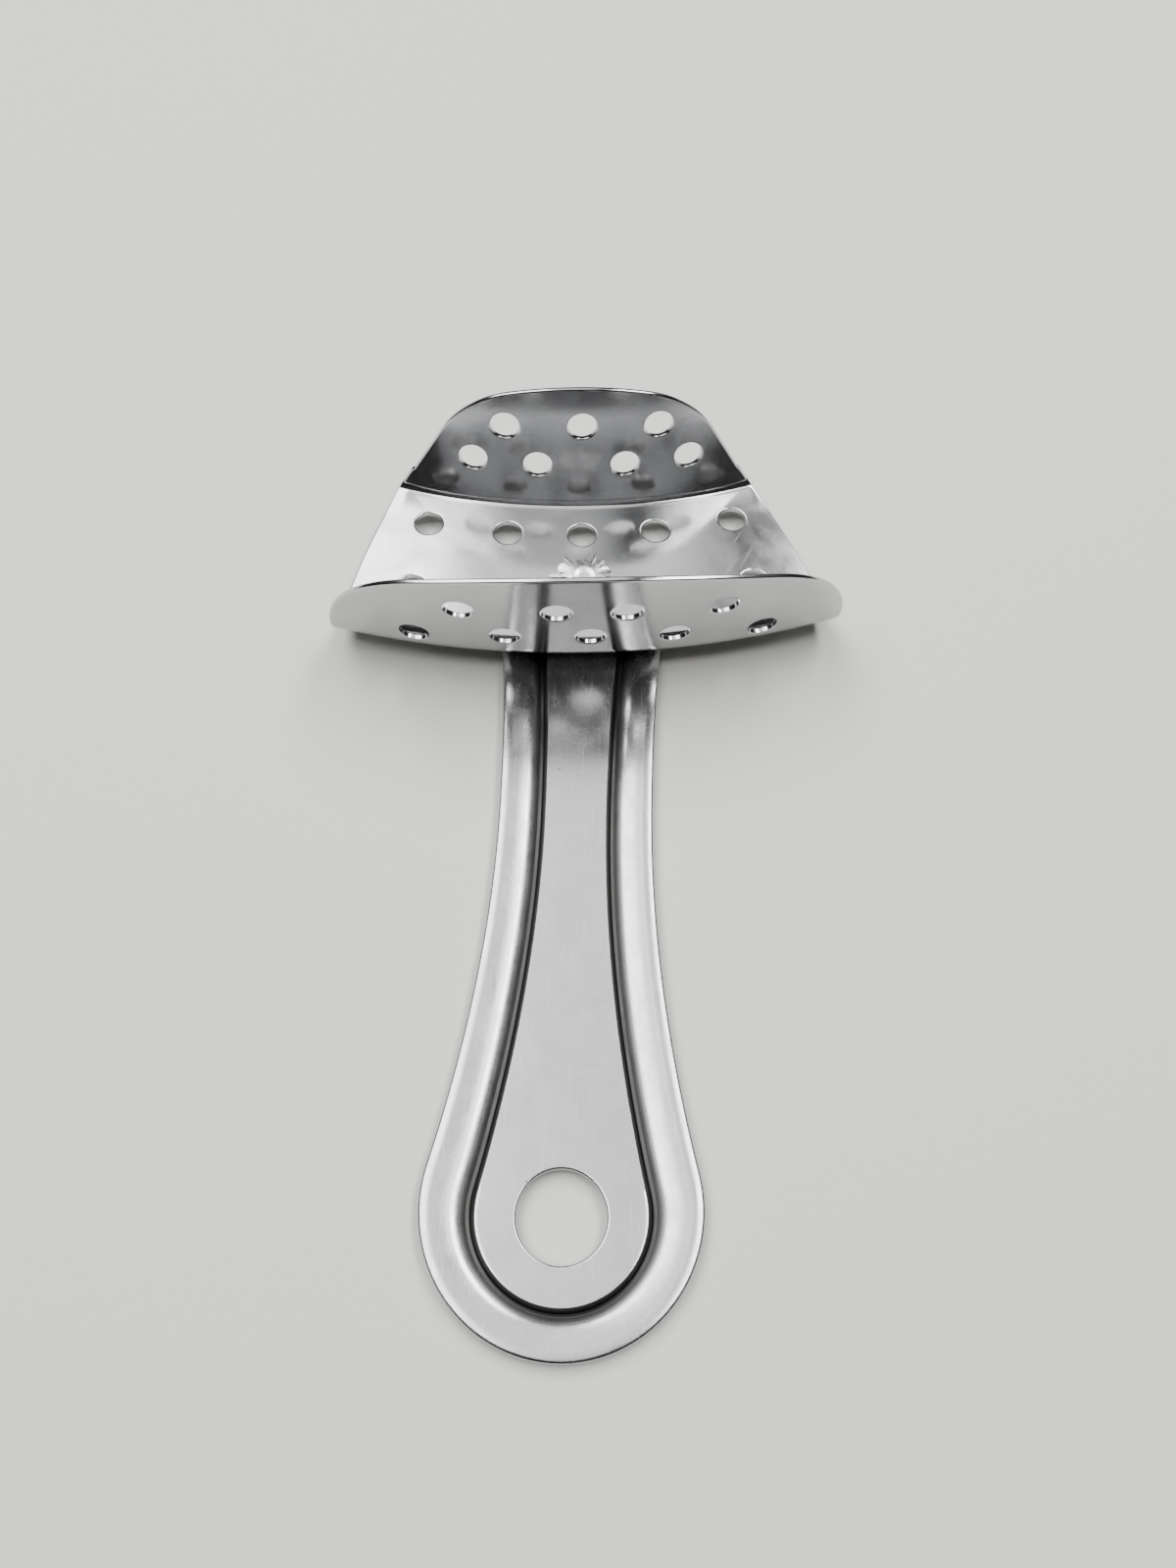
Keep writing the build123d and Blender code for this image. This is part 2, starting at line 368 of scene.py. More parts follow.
def polishedSteel(look):
    # Stainless steel 304 sheet, pressed and barrel polished: a clear mirror that is
    # a little soft, with wipe marks, hair scratches and a faint orange peel.
    material, tree, shader = newMaterial("polishedPressedStainless")
    coords = addNode(tree, "ShaderNodeTexCoord", {}).outputs["Object"]
    smudge = addNode(
        tree, "ShaderNodeTexNoise",
        {"Vector": coords, "Scale": perMillimetre(look["smudgeSize"]), "Detail": 4.0, "Roughness": 0.62,
         "Distortion": 0.6},
    ).outputs["Fac"]
    tone, rough = unevenSteel(tree, look, smudge)
    scratches = [
        stretchedLines(tree, coords, look["scratchWidth"], look["scratchLength"], turn, look["scratchShare"])
        for turn in look["scratchTurns"]
    ]
    scratch = addNode(
        tree, "ShaderNodeMath", {0: scratches[0], 1: scratches[1]}, operation="MAXIMUM"
    ).outputs[0]
    scratchRough = addNode(
        tree, "ShaderNodeMath", {0: scratch, 1: look["scratchDulling"], 2: rough}, operation="MULTIPLY_ADD"
    ).outputs[0]
    peel = addNode(
        tree, "ShaderNodeTexNoise",
        {"Vector": coords, "Scale": perMillimetre(look["peelSize"]), "Detail": 2.0, "Roughness": 0.5},
    ).outputs["Fac"]
    peelBump = addNode(
        tree, "ShaderNodeBump",
        {"Height": peel, "Strength": 1.0, "Distance": look["peelDepth"] * millimetre},
    )
    scratchBump = addNode(
        tree, "ShaderNodeBump",
        {"Height": scratch, "Strength": 0.5, "Distance": look["scratchDepth"] * millimetre,
         "Normal": peelBump.outputs["Normal"]},
        invert=True,
    )
    connectSteel(tree, shader, tone, scratchRough, scratchBump.outputs["Normal"])
    return material


def satinSteel(look):
    # Stainless steel strip, coined and tumbled: a bright satin with a fine even
    # grain, faint draw lines along the strip, finger smudges and a few small pits, with
    # painted shade: the bottom of the groove is coloured dark to stand for the dark
    # reflection and shade it shows.
    material, tree, shader = newMaterial("satinTumbledStainless")
    coords = addNode(tree, "ShaderNodeTexCoord", {}).outputs["Object"]
    smudge = addNode(
        tree, "ShaderNodeTexNoise",
        {"Vector": coords, "Scale": perMillimetre(look["smudgeSize"]), "Detail": 6.0, "Roughness": 0.76,
         "Distortion": 0.8},
    ).outputs["Fac"]
    grain = addNode(
        tree, "ShaderNodeTexNoise",
        {"Vector": coords, "Scale": perMillimetre(look["grainSize"]), "Detail": 3.0, "Roughness": 0.65},
    ).outputs["Fac"]
    streak = stretchedLines(
        tree, coords, look["streakWidth"], look["streakLength"], 0.0, look["streakShare"]
    )
    pits = addNode(
        tree, "ShaderNodeTexVoronoi", {"Vector": coords, "Scale": perMillimetre(look["pitSpacing"])}
    ).outputs["Distance"]
    pit = addNode(
        tree, "ShaderNodeMapRange",
        {"Value": pits, "From Min": 0.012, "From Max": 0.03, "To Min": 1.0, "To Max": 0.0},
    ).outputs["Result"]
    tone, rough = unevenSteel(tree, look, smudge)
    pitted = addNode(
        tree, "ShaderNodeMix",
        {"Factor": pit, "A": tone, "B": toLinear(look["pitColour"])}, data_type="RGBA",
    )
    # painted shade: the groove's dark band, mixed over the steel's colour and made a little rougher
    grooveShade = addNode(tree, "ShaderNodeAttribute", {}, attribute_name="grooveShade").outputs["Fac"]
    grooved = addNode(
        tree, "ShaderNodeMix",
        {"Factor": grooveShade, "A": pitted.outputs["Result"], "B": toLinear(look["grooveShadeColour"])},
        data_type="RGBA",
    )
    grooveRough = addNode(
        tree, "ShaderNodeMath", {0: grooveShade, 1: look["grooveShadeDulling"], 2: rough}, operation="MULTIPLY_ADD"
    ).outputs[0]
    grainRough = addNode(
        tree, "ShaderNodeMath", {0: grain, 1: look["grainDulling"], 2: grooveRough}, operation="MULTIPLY_ADD"
    ).outputs[0]
    streakRough = addNode(
        tree, "ShaderNodeMath",
        {0: streak, 1: look["streakDulling"], 2: grainRough}, operation="MULTIPLY_ADD",
    ).outputs[0]
    grainBump = addNode(
        tree, "ShaderNodeBump",
        {"Height": grain, "Strength": 1.0, "Distance": look["grainDepth"] * millimetre},
    )
    streakBump = addNode(
        tree, "ShaderNodeBump",
        {"Height": streak, "Strength": 0.4, "Distance": look["streakDepth"] * millimetre,
         "Normal": grainBump.outputs["Normal"]},
        invert=True,
    )
    connectSteel(tree, shader, grooved.outputs["Result"], streakRough, streakBump.outputs["Normal"])
    return material


def hammeredSteel(look):
    # Soft stainless rivet wire, set by a press: bright, with small dents and scuffs.
    material, tree, shader = newMaterial("setRivetStainless")
    coords = addNode(tree, "ShaderNodeTexCoord", {}).outputs["Object"]
    dents = addNode(
        tree, "ShaderNodeTexNoise",
        {"Vector": coords, "Scale": perMillimetre(look["dentSize"]), "Detail": 3.0, "Roughness": 0.6},
    ).outputs["Fac"]
    tone, rough = unevenSteel(tree, look, dents)
    bump = addNode(
        tree, "ShaderNodeBump",
        {"Height": dents, "Strength": 1.0, "Distance": look["dentDepth"] * millimetre},
    )
    connectSteel(tree, shader, tone, rough, bump.outputs["Normal"])
    return material


# Handle: one pressed strip with a u-shaped groove and a hanging hole

handle = {
    "endRadius": 12.45, "endCentreY": 1.0,
    "neckHalfWidth": 7.86, "neckY": 38.5,
    "shoulderRadius": 260.0,
    "tailCorner": 2.0,
    "holeRadius": 3.95, "rivetHoleRadius": 1.5,
    "tailRoundSteps": 11,
    # the flat panel inside the groove: its distance from the edge beyond the neck and
    # its round end
    "rimWidth": 4.8, "panelEndRadius": 7.5, "panelEndCentreY": 0.25,
    # the section from the flat panel out over the groove and the rim, as the
    # distance in from the edge, the height and the radius of each bend
    "upperSection": (
        (6.6, 1.0, 0), (4.8, 1.0, 0.06), (4.36, 0.36, 0.24), (4.02, 0.28, 0.2), (3.6, 0.5, 0.5),
        (3.05, 0.76, 3.0), (2.05, 0.94, 12.0), (0.8, 1.07, 3.0), (0.0, 0.97, 0),
    ),
    "lowerSection": (
        (6.6, 0.0, 0), (5.15, 0.0, 0.4), (4.7, -0.7, 0.45), (3.55, -0.7, 0.9), (2.2, 0.0, 1.5),
        (0.0, 0.0, 0),
    ),
    # where the painted shade in the groove starts, is full, is still full and ends, on the same section
    "grooveShadeSpan": (3.2, 3.75, 4.76, 4.83),
    # roundings are width, depth above and depth below
    "edgeRounding": (0.38, 0.42, 0.2),
    "holeRounding": (0.32, 0.3, 0.14),
    "spacing": 0.62, "rowSpacing": 0.3,
    "rowsEnd": 5.8,               # rows of points follow the edge in to here, a field lies inside
    "rippleHeight": 0.012, "rippleLength": 11.0, "rippleSeed": 7,
}

satinLook = {
    # the dark groove colour is painted shade, standing for the groove's shade and dark reflection
    "steel": "#D0D0D0", "dulled": "#A0A0A1", "pitColour": "#6E6F71", "grooveShadeColour": "#3A3A39",
    "smudgeSize": 5.0, "patternRange": (0.35, 0.68), "clearest": 0.16, "softest": 0.27,
    "grooveShadeDulling": 0.12, "grainDulling": 0.08, "streakDulling": 0.06,
    "grainSize": 0.22, "grainDepth": 0.0019,   # real grain is near 0.05, drawn coarser so that it shows
    "streakWidth": 0.16, "streakLength": 7.0, "streakShare": 0.35, "streakDepth": 0.0005,
    "pitSpacing": 4.4,
}


def edgeShape(endRadius, endCentreY, inset):
    # the three arcs of a long edge, right-hand side: round end, flank and shoulder;
    # inset is its distance from the outline beyond the neck
    neck = handle["neckHalfWidth"] - inset
    rise = handle["neckY"] - endCentreY
    flankRadius = (neck**2 + rise**2 - endRadius**2) / (2 * (endRadius - neck))
    return {
        "endRadius": endRadius, "endCentre": np.array((0.0, endCentreY)),
        "flankRadius": flankRadius, "flankCentre": np.array((neck + flankRadius, handle["neckY"])),
        "shoulderRadius": handle["shoulderRadius"] + inset,
        "shoulderCentre": np.array((handle["neckHalfWidth"] + handle["shoulderRadius"], handle["neckY"])),
    }


outerEdge = edgeShape(handle["endRadius"], handle["endCentreY"], 0)
panelEdge = edgeShape(handle["panelEndRadius"], handle["panelEndCentreY"], handle["rimWidth"])


def edgeDistance(points, edge):
    # how far each point lies in from a long edge, and the way inward
    side = np.where(points[:, 0] < 0, -1.0, 1.0)
    spots = np.column_stack([np.abs(points[:, 0]), points[:, 1]])
    toEnd, toFlank, toShoulder = (
        spots - edge[centre] for centre in ("endCentre", "flankCentre", "shoulderCentre")
    )
    fromEnd = edge["endRadius"] - np.linalg.norm(toEnd, axis=1)
    fromFlank = np.linalg.norm(toFlank, axis=1) - edge["flankRadius"]
    fromShoulder = np.linalg.norm(toShoulder, axis=1) - edge["shoulderRadius"]
    joint = edge["flankCentre"] - edge["endCentre"]
    beyondJoint = joint[0] * toEnd[:, 1] - joint[1] * toEnd[:, 0] > 0
    beyondNeck = points[:, 1] > handle["neckY"]
    distance = np.where(beyondNeck, fromShoulder, np.where(beyondJoint, fromFlank, fromEnd))
    inward = np.where(beyondJoint[:, None], unit(toFlank), -unit(toEnd + 1e-9))
    inward = np.where(beyondNeck[:, None], unit(toShoulder), inward)
    inward[:, 0] *= side
    return distance, inward


def drawnDistance(points):
    # where each point lies on the drawn section: rim and groove stretch a little to
    # fill the strip between the outline and the panel
    outer, inward = edgeDistance(points, outerEdge)
    panel, _ = edgeDistance(points, panelEdge)
    rim = handle["rimWidth"]
    between = rim * outer / np.maximum(outer - panel, rim / 2)
    return np.where(panel > 0, rim + panel, between), inward


def longEdge(spacing, lastY):
    # the right-hand outline from the bottom of the end to the tail, and the way inward
    endCentre, flankCentre = outerEdge["endCentre"], outerEdge["flankCentre"]
    joint = flankCentre - endCentre
    jointAngle = math.atan2(joint[1], joint[0])
    count = round((jointAngle + math.pi / 2) * handle["endRadius"] / spacing)
    angles = np.linspace(-math.pi / 2, jointAngle, count + 1)
    end = endCentre + handle["endRadius"] * np.column_stack([np.cos(angles), np.sin(angles)])
    flankRadius = outerEdge["flankRadius"]
    count = round(jointAngle * flankRadius / spacing)
    angles = np.linspace(jointAngle, 0, count + 1)[1:]
    flank = flankCentre - flankRadius * np.column_stack([np.cos(angles), np.sin(angles)])
    count = round((lastY - handle["neckY"]) / spacing)
    heights = np.linspace(handle["neckY"], lastY, count + 1)[1:]
    shoulder = np.column_stack([[tailEdge(y, 0) for y in heights], heights])
    line = np.vstack([end, flank, shoulder])
    return line, edgeDistance(line + (1e-6, 0), outerEdge)[1]


def movedIn(line, inward, drawn):
    # the outline moved in to one place on the drawn section
    width = -edgeDistance(line, panelEdge)[0]
    rim = handle["rimWidth"]
    inset = width * drawn / rim if drawn < rim else width + drawn - rim
    return line + inward * inset[:, None]


def mirrored(line):
    # closes a right-hand line with its left-hand copy, counter-clockwise
    left = line[::-1] * (-1, 1)
    start = 1 if abs(left[0, 0]) < 1e-9 else 0
    stop = -1 if abs(line[0, 0]) < 1e-9 else None
    return np.vstack([line, left[start:stop]])


def tailEdge(y, inset):
    reach = math.sqrt((handle["shoulderRadius"] + inset) ** 2 - (y - handle["neckY"]) ** 2)
    return outerEdge["shoulderCentre"][0] - reach


def handleOutline(rows):
    # the whole outline, inset by its rounding; the tail's end has a point where each
    # row of the section runs out over it
    inset = handle["edgeRounding"][0]
    corner, lastY = handle["tailCorner"], handleHigh[1]
    centre = np.array((tailEdge(lastY - corner, corner), lastY - corner))
    firstAngle = math.atan2(*(outerEdge["shoulderCentre"] - centre)[::-1])
    angles = np.linspace(firstAngle, math.pi / 2, handle["tailRoundSteps"] + 1)[1:]
    cornerArc = centre + (corner - inset) * np.column_stack([np.cos(angles), np.sin(angles)])
    line, inward = longEdge(handle["spacing"] * 0.8, lastY - corner)
    start = line + inward * inset
    crossings = [tailEdge(lastY - inset, row) for row in rows]
    crossings += list(np.arange(0, tailEdge(lastY - inset, handle["upperSection"][0][0]), 0.5))
    crossings = sorted({round(x, 4) for x in crossings if x < centre[0] - 0.05}, reverse=True)
    back = np.array([(x, lastY - inset) for x in crossings])
    return mirrored(np.vstack([start, cornerArc, back]))


def circle(centre, radius, count, clockwise=True):
    angles = np.linspace(0, 2 * math.pi, count, endpoint=False)
    if clockwise:
        angles = -angles
    return np.asarray(centre) + radius * np.column_stack([np.cos(angles), np.sin(angles)])


def handleRows(section):
    # the rounded section as a table: distance in, height, and the normal across and up
    places, normals = filletedLine([(-inset, height, radius) for inset, height, radius in section])
    table = np.column_stack([-places[:, 0], places[:, 1], -normals[:, 0], normals[:, 1]])
    return table[::-1]


def handleFill(table, outline, holes):
    # rows of points along the rim and groove, then an even field over the panel
    inset, rowsEnd = handle["edgeRounding"][0], handle["rowsEnd"]
    rows = [row for row in table[:, 0] if inset + 0.15 < row < rowsEnd]
    between = np.arange(inset + 0.2, rowsEnd, handle["rowSpacing"])
    rows += [row for row in between if min(abs(row - k) for k in rows) > 0.12]
    line, inward = longEdge(handle["spacing"], handleHigh[1] - inset - 0.2)
    points = []
    for row in sorted(rows):
        half = movedIn(line, inward, row)
        points += [half, half[1:] * (-1, 1)]
    step = handle["spacing"]
    halfCount = math.ceil(panelEdge["endRadius"] / step) + 5
    grid = np.array([
        (column * step, row * step)
        for column in range(-halfCount, halfCount + 1)
        for row in range(round(handleLow[1] / step), round(handleHigh[1] / step))
    ])
    inside, _ = drawnDistance(grid)
    grid = grid[(inside > rowsEnd + 0.15) & (grid[:, 1] < handleHigh[1] - inset - 0.3)]
    points = np.vstack(points + [grid])
    points = points[insideLoop(points, outline)]
    points = points[clearOfLoop(points, outline) > 0.1]
    for centre, radius, rings in holes:
        away = np.linalg.norm(points - centre, axis=1)
        points = points[away > radius + rings[-1] + 0.25]
        points = np.vstack([points] + [circle(centre, radius + ring, 64) for ring in rings])
    return points


def handlePlace(table, lift):
    def place(flat):
        inside, inward = drawnDistance(flat)
        height, across, up = (np.interp(inside, table[:, 0], table[:, k]) for k in (1, 2, 3))
        waves = handle["rippleHeight"], handle["rippleLength"], handle["rippleSeed"]
        wave = ripple(flat, *waves)
        step = 0.01
        slopes = [(ripple(flat + shift, *waves) - wave) / step for shift in ((step, 0), (0, step))]
        # the ripple only ever lowers the top and raises the underside
        wave = wave - lift * handle["rippleHeight"]
        normals = np.column_stack([inward * across[:, None], up * lift])
        normals[:, 0] -= slopes[0] * up * lift
        normals[:, 1] -= slopes[1] * up * lift
        return np.column_stack([flat, height + wave]), unit(normals)
    return place


def paintedGrooveShade(places):
    # painted shade: full in the bottom of the groove on the upper side, gone on the rim and the panel
    inside, _ = drawnDistance(places[:, :2])
    share = np.interp(inside, handle["grooveShadeSpan"], (0, 1, 1, 0), left=0, right=0)
    return share * (places[:, 2] > stripThickness / 10)


def makeHandle():
    upper, lower = handleRows(handle["upperSection"]), handleRows(handle["lowerSection"])
    width = handle["holeRounding"][0]
    outline = handleOutline(list(upper[:, 0]) + list(lower[:, 0]))
    # each hole: centre, radius at the sheet's face and the rings of points round it
    hang = ((0.0, 0.0), handle["holeRadius"] + width, (0.3, 0.75))
    rivet = ((0.0, rivetY), handle["rivetHoleRadius"] + width, (0.3,))
    loops = [
        (outline, handle["edgeRounding"]),
        (circle(hang[0], hang[1], 96), handle["holeRounding"]),
        (circle(rivet[0], rivet[1], 48), handle["holeRounding"]),
    ]
    shells = pressedSheet(
        loops,
        handleFill(upper, outline, (hang, rivet)), handleFill(lower, outline, (hang, rivet)),
        handlePlace(upper, 1), handlePlace(lower, -1),
    )
    makePiece("strip_handle", shells, satinSteel(satinLook), "handle", paintedGrooveShade)


# Tray: one thin sheet pressed to an arched trough and punched with round holes

tray = {
    "thickness": 0.65, "turn": 4.0,
    "archRadius": 95.2, "nearBaseY": -11.0,
    "troughWidth": 21.5,
    "nearFlare": 8.6, "farFlare": 9.3,
    "nearBend": 3.475, "farBend": 1.175,   # radii of the middle of the sheet
    # the floor's far corners curl up a little: by how much, how far along the arc it
    # starts and is full, and how far from the far wall it starts
    "cornerLift": 0.45, "liftStart": 19.0, "liftRun": 7.0, "liftDepth": 5.0,
    "nearHalfWidth": 27.5, "nearHeight": 17.7, "nearCorner": 13.0, "nearCrownRise": 2.0,
    "farHalfWidth": 19.95, "farHeight": 15.9, "farCorner": 12.0, "farCrownRise": 0.55,
    "farSideLean": 30.8,
    "farShift": -0.4,             # the far side is trimmed a little off centre
    "floorHalfWidth": 20.75,      # the floor's corners at the foot of the far wall
    "sideEdgeRadius": 100.0,
    "holeRadius": 1.6,
    "rivetHoleRadius": 1.5,
    # rows of holes: height up the slope of the wall, how much lower the row is
    # 20 mm to the side, and the places along the arc
    "nearRows": (
        (6.4, 1.8, (-18.4, -8.8, 0.0, 8.8, 18.4)),
        (11.5, 0.8, (-13.2, -3.5, 3.5, 13.2)),
    ),
    "farRows": (
        (6.2, -1.0, (-12.4, -5.0, 5.0, 12.4)),
        (11.4, 1.1, (-8.7, 0.0, 8.7)),
    ),
    # floor rows: distance from the rivet, and the places along the arc
    "floorRows": (
        (6.25, (-17.7, -8.55, 0.0, 8.55, 17.7)),
        (-2.9, (-19.4, -9.6, 9.6, 19.4)),
    ),
    "edgeRounding": (0.26, 0.26, 0.26),
    "holeRounding": (0.28, 0.17, 0.1),
    "outlineSpacing": 0.4, "cornerEase": 0.3,
    "spacing": 0.72, "holePoints": 40,
    "nearBendRun": 3.6, "nearBendRow": 0.3,   # rows of points lie closer over the bends
    "farBendRun": 3.0, "farBendRow": 0.22,
    "rippleHeight": 0.03, "rippleLength": 16.0, "rippleSeed": 3,
}

polishedLook = {
    "steel": "#CBCBCC", "dulled": "#B4B5B6",
    "smudgeSize": 8.0, "patternRange": (0.35, 0.7), "clearest": 0.12, "softest": 0.21,
    "scratchWidth": 0.07, "scratchLength": 5.0, "scratchShare": 0.1, "scratchDepth": 0.0006,
    "scratchTurns": (0.5, -0.9), "scratchDulling": 0.12,
    "peelSize": 1.3, "peelDepth": 0.0012,
}

nearLean, farLean = math.radians(tray["nearFlare"]), math.radians(tray["farFlare"])
halfSheet = tray["thickness"] / 2
archCentreY = tray["nearBaseY"] + tray["archRadius"]
# radii of the two lines where the middle of each wall would meet the floor's middle
nearFoot = tray["archRadius"] + halfSheet * (math.tan(nearLean) - 1 / math.cos(nearLean))
farFoot = tray["archRadius"] - tray["troughWidth"] - tray["thickness"] / math.cos(farLean)
farFoot += halfSheet * (1 / math.cos(farLean) - math.tan(farLean))
floorWidth = nearFoot - farFoot


def troughSection(along, across):
    # radius and height of the sheet's middle; across is measured from the near foot,
    # negative up the near wall, and runs on over the floor and up the far wall
    isNear = across < floorWidth / 2
    foot = np.where(isNear, nearFoot, farFoot)
    lean = np.where(isNear, nearLean, farLean)
    side = np.where(isNear, 1.0, -1.0)
    bend = np.where(isNear, tray["nearBend"], tray["farBend"])
    local = np.where(isNear, across, floorWidth - across)   # negative up the wall
    turn = math.pi / 2 - lean
    reach = bend * np.tan(turn / 2)
    angle = turn * np.clip((local + reach) / (2 * reach), 0, 1)
    centreOut = np.sin(lean) * reach - np.cos(lean) * bend
    centreUp = np.cos(lean) * reach + np.sin(lean) * bend
    out = centreOut + bend * np.cos(lean + angle)
    up = centreUp - bend * np.sin(lean + angle)
    onWall, onFloor = local < -reach, local > reach
    out = np.where(onWall, -local * np.sin(lean), np.where(onFloor, -local, out))
    up = np.where(onWall, -local * np.cos(lean), np.where(onFloor, 0.0, up))
    outer = np.clip((np.abs(along) - tray["liftStart"]) / tray["liftRun"], 0, 1)
    toFar = np.clip((across - floorWidth + tray["liftDepth"]) / tray["liftDepth"], 0, 1)
    up = up + tray["cornerLift"] * outer**2 * toFar**2 * (up < 3)   # the wall above stays put
    return foot + side * out, halfSheet + up


def trayMiddle(flat):
    radius, height = troughSection(flat[:, 0], flat[:, 1])
    angle = flat[:, 0] / tray["archRadius"]
    return np.column_stack([radius * np.sin(angle), archCentreY - radius * np.cos(angle), height])


def trayPlace(sideUp):
    # places on the inner or outer face: sideUp is 1 for the inner, -1 for the outer
    turn = math.radians(tray["turn"])
    spin = np.array((
        (math.cos(turn), math.sin(turn), 0), (-math.sin(turn), math.cos(turn), 0), (0, 0, 1)
    ))

    def waved(flat):
        middle = trayMiddle(flat)
        normals = numericNormals(trayMiddle, flat)
        wave = ripple(flat, tray["rippleHeight"], tray["rippleLength"], tray["rippleSeed"])
        onWalls = np.clip((middle[:, 2] - 1.5) / 4, 0, 1)
        return middle + normals * (wave * onWalls)[:, None]

    def place(flat):
        normals = numericNormals(waved, flat, 0.01)
        places = waved(flat) + normals * halfSheet * sideUp
        return places @ spin + (0, rivetY, stripThickness), normals @ spin * sideUp
    return place


def crownedEdge(halfWidth, base, height, lean, corner, crownRise, lowest):
    # right half of a wall's edge seen from the front, from the crown down to lowest
    centreZ = height - crownRise - corner
    centreX = halfWidth - math.tan(lean) * (centreZ - base) - corner / math.cos(lean)
    crown = (centreX**2 + (height - centreZ) ** 2 - corner**2) / (2 * crownRise)
    turn = math.atan2(centreZ - height + crown, centreX)
    crownAngles = np.linspace(math.pi / 2, turn, 40)
    crownLine = np.column_stack([crown * np.cos(crownAngles), height - crown + crown * np.sin(crownAngles)])
    cornerAngles = np.linspace(turn, lean, 40)
    cornerLine = np.column_stack([
        centreX + corner * np.cos(cornerAngles), centreZ + corner * np.sin(cornerAngles)
    ])
    # the side runs on almost straight, with a trace of bow
    share = np.linspace(0, 1, 20)[1:, None]
    low = np.array((halfWidth + math.tan(lean) * (base - lowest), lowest))
    sideLine = cornerLine[-1] * (1 - share) + low * share
    sideLine[:, 0] += 0.16 * (share * (1 - share))[:, 0]
    return np.vstack([crownLine, cornerLine, sideLine])


def halfOutline(side):
    # half of the trimmed edge on the flat pattern, drawn as the right-hand one; side
    # is 1 for the right and -1 for the left
    near = crownedEdge(
        tray["nearHalfWidth"], 0, tray["nearHeight"], 0, tray["nearCorner"], tray["nearCrownRise"], 0.9
    )
    up = (near[:, 1] - halfSheet) / math.cos(nearLean)
    radius = nearFoot + up * math.sin(nearLean)
    nearLine = np.column_stack([np.arcsin(near[:, 0] / radius), -up])
    # the floor's side in plan: an arc between the two walls
    shift = tray["farShift"] * side
    farX = tray["floorHalfWidth"] + shift
    nearY = archCentreY - math.sqrt(tray["archRadius"] ** 2 - tray["nearHalfWidth"] ** 2)
    farRadius = tray["archRadius"] - tray["troughWidth"]
    farY = archCentreY - math.sqrt(farRadius**2 - farX**2)
    ends = np.array(((tray["nearHalfWidth"], nearY), (farX, farY)))
    chord = np.linalg.norm(ends[1] - ends[0])
    bow = tray["sideEdgeRadius"] - math.sqrt(tray["sideEdgeRadius"] ** 2 - chord**2 / 4)
    share = np.linspace(0.05, 0.99, 32)
    bulge = bow * (1 - (2 * share - 1) ** 2)
    outward = -leftOf(unit(ends[1] - ends[0]))
    floorSide = ends[0] + (ends[1] - ends[0]) * share[:, None] + outward * bulge[:, None]
    reach = np.hypot(floorSide[:, 0], archCentreY - floorSide[:, 1])
    angle = np.arctan2(floorSide[:, 0], archCentreY - floorSide[:, 1])
    sideLine = np.column_stack([angle, nearFoot - reach])
    far = crownedEdge(
        tray["farHalfWidth"], 1.5, tray["farHeight"], math.radians(tray["farSideLean"]),
        tray["farCorner"], tray["farCrownRise"], 1.3,
    )[::-1]
    up = (far[:, 1] - halfSheet) / math.cos(farLean)
    radius = farFoot - up * math.sin(farLean)
    farLine = np.column_stack([np.arcsin((far[:, 0] + shift) / radius), floorWidth + up])
    return np.vstack([nearLine, sideLine, farLine]) * (tray["archRadius"], 1)


def trayOutline():
    # counter-clockwise on the pattern: down the right side, back up the left; the
    # corners are eased a little, then the line is inset by the edge's rounding
    right, left = halfOutline(1), halfOutline(-1) * (-1, 1)
    step, reach = 0.2, 6
    outline = evenlySpaced(np.vstack([right, left[::-1][1:-1]]), step)
    softening = np.exp(-0.5 * (np.arange(-reach, reach + 1) * step / tray["cornerEase"]) ** 2)
    softening /= softening.sum()
    padded = np.vstack([outline[-reach:], outline, outline[:reach]])
    outline = np.column_stack([np.convolve(padded[:, axis], softening, "valid") for axis in range(2)])
    along = np.roll(outline, -1, axis=0) - np.roll(outline, 1, axis=0)
    shrink = troughSection(outline[:, 0], outline[:, 1])[0] / tray["archRadius"]
    real = np.column_stack([along[:, 0] * shrink, along[:, 1]])
    inward = unit(np.column_stack([-real[:, 1], real[:, 0]]))
    inward[:, 0] /= shrink
    return evenlySpaced(outline + inward * tray["edgeRounding"][0], tray["outlineSpacing"])


def trayHoles():
    # centres of all holes on the flat pattern
    centres = []
    farBase = tray["archRadius"] - tray["troughWidth"] - halfSheet / math.cos(farLean)
    for rows, base, lean, isNear in (
        (tray["nearRows"], tray["archRadius"], nearLean, True),
        (tray["farRows"], farBase, farLean, False),
    ):
        for slope, droop, places in rows:
            for place in places:
                up = slope - droop * (place / 20) ** 2 - halfSheet / math.cos(lean)
                across = -up if isNear else floorWidth + up
                centres.append((place / base * tray["archRadius"], across))
    for middleY, places in tray["floorRows"]:
        radius = archCentreY - middleY
        for place in places:
            centres.append((place / radius * tray["archRadius"], nearFoot - radius))
    return centres


def patternCircle(centre, radius):
    # a circle on the sheet, drawn on the flat pattern
    count = tray["holePoints"]
    angles = -np.linspace(0, 2 * math.pi, count, endpoint=False)
    across = centre[1] + radius * np.sin(angles)
    shrink = troughSection(np.full(count, centre[0]), across)[0] / tray["archRadius"]
    return np.column_stack([centre[0] + radius * np.cos(angles) / shrink, across])


